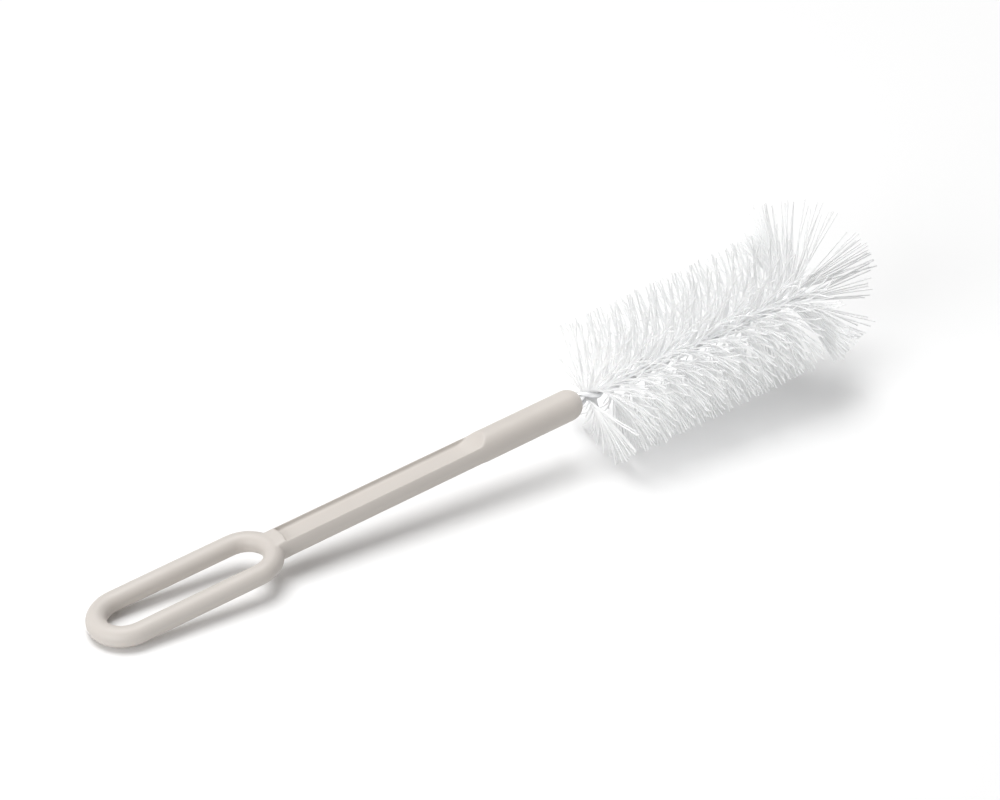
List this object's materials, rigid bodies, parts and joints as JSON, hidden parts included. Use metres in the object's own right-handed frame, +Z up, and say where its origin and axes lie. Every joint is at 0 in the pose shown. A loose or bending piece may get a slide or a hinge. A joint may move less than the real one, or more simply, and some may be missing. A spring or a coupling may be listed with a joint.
{
  "type": "bottle brush",
  "caption": "Bottle brush with a slim moulded handle that ends in a hanging loop and a round white bristle head on twisted wire, for cleaning bottles and flasks.",
  "frame": {"origin": "bottom centre of the bounding box, on the ground the brush lies on", "axes": "+X along the brush from the loop to the bristle tip, +Z up, Y across the loop"},
  "size_m": [0.2878, 0.0598, 0.0634],
  "materials": {
    "handle_plastic": "satin moulded, warm light grey",
    "wire_steel": "bright drawn wire",
    "bristle_nylon": "translucent white filament"
  },
  "bodies": {
    "root": {"handle": "handle_plastic", "twisted_wire": "wire_steel", "side_bristles": "bristle_nylon", "tip_bristles": "bristle_nylon"}
  },
  "joints": []
}
